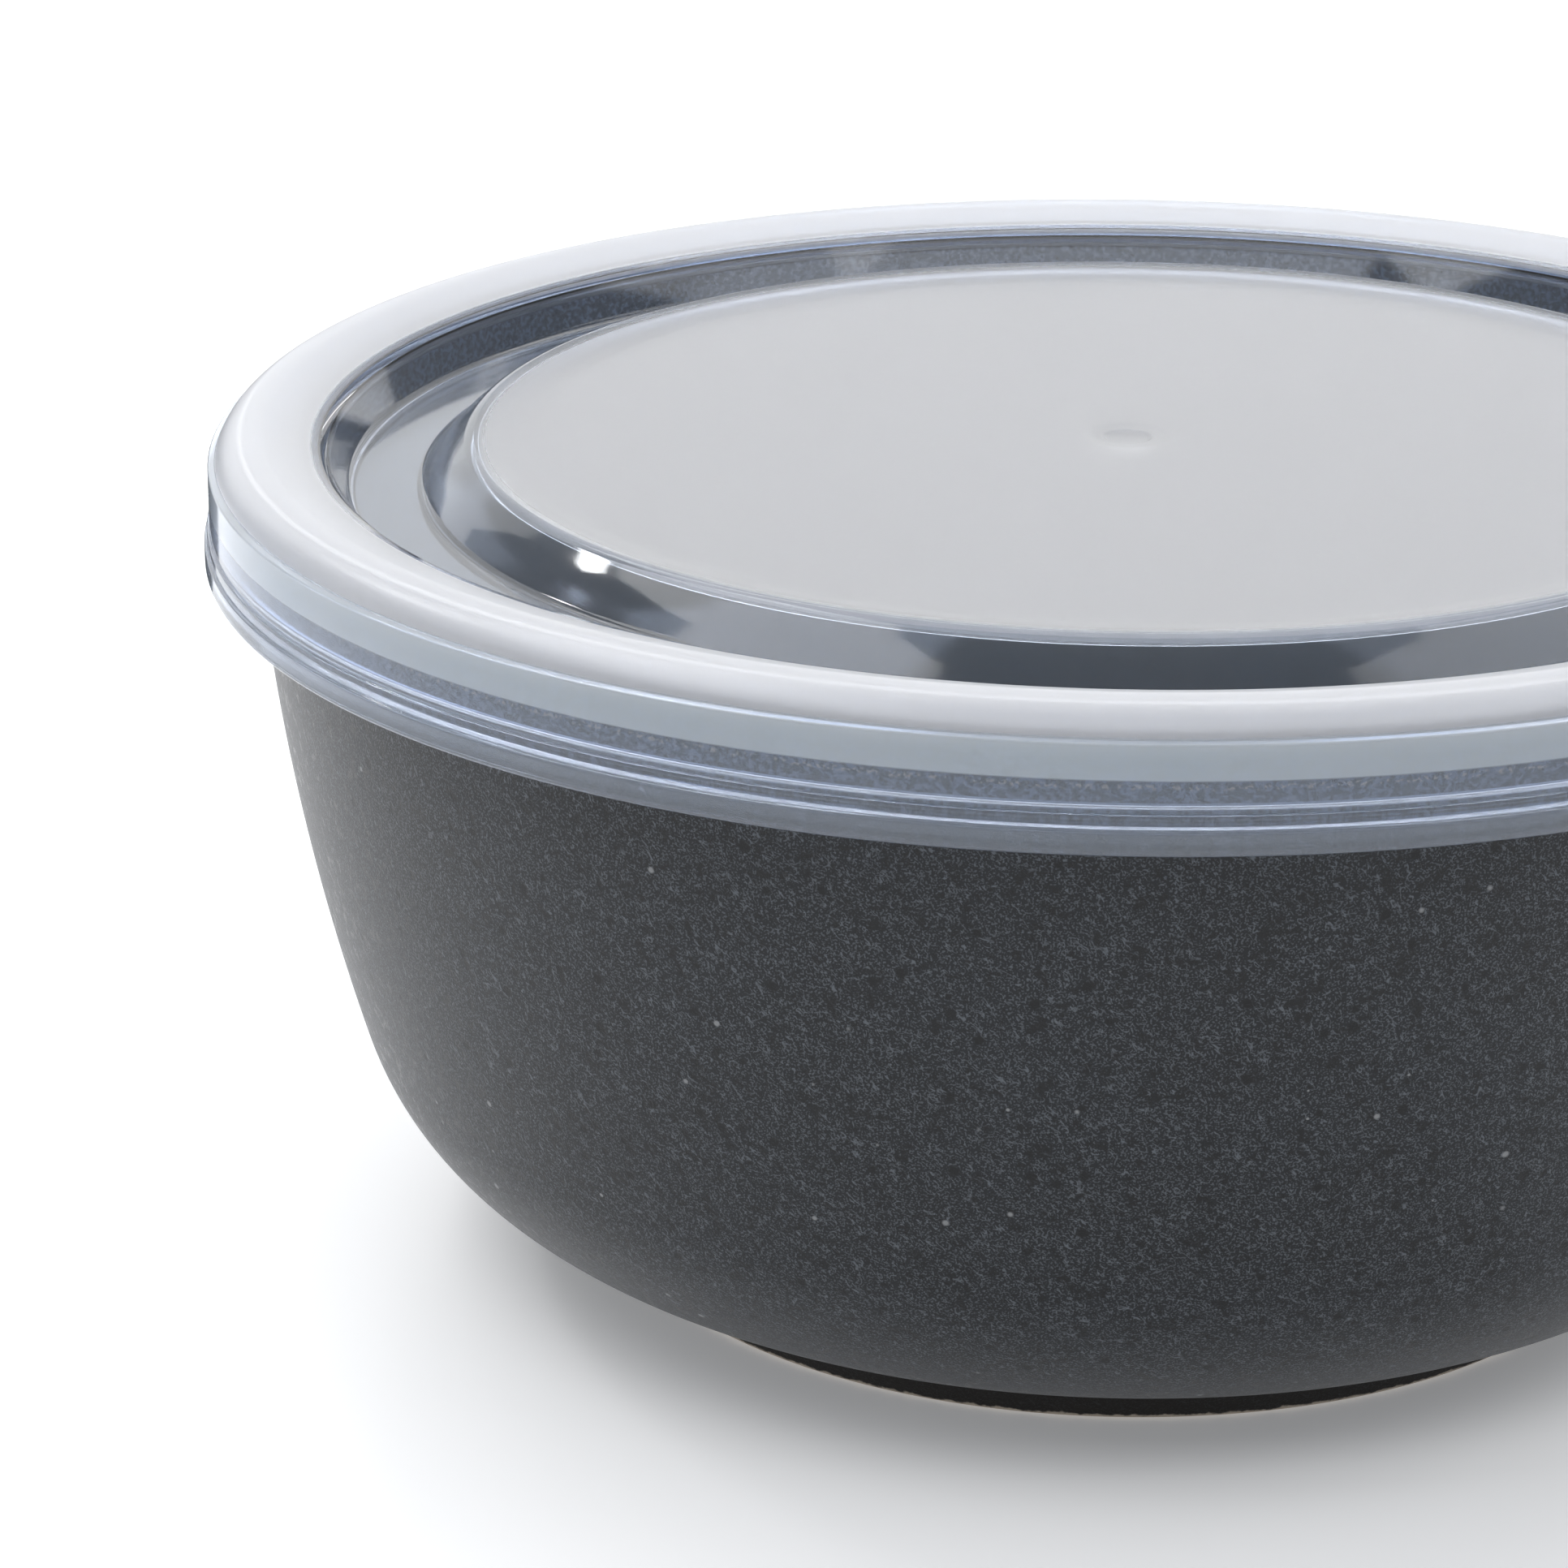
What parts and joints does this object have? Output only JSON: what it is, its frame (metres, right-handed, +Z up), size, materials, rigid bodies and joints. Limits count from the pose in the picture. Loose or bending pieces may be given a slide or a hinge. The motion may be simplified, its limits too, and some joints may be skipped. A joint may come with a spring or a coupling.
{
  "type": "round bowl with press-on lid",
  "caption": "Round dark stoneware bowl on a foot ring, with a translucent press-on lid that lifts off.",
  "frame": {"origin": "centre of the foot ring, on the surface that the bowl stands on", "axes": "+Z up along the axis of the bowl; +X and +Y are alike, because the part is round"},
  "size_m": [0.1499, 0.1498, 0.0694],
  "materials": {
    "glazed_stoneware": "satin charcoal glaze with fine light and dark flecks, bare clay at the foot",
    "translucent_plastic": "glossy, milky translucent moulded plastic"
  },
  "bodies": {
    "bowl": {"bowl": "glazed_stoneware"},
    "lid": {"lid": "translucent_plastic"}
  },
  "joints": [
    {"name": "lid_lift", "type": "slide", "parent": "bowl", "child": "lid", "axis": [0, 0, 1], "range_m": [0, 0.06]}
  ]
}
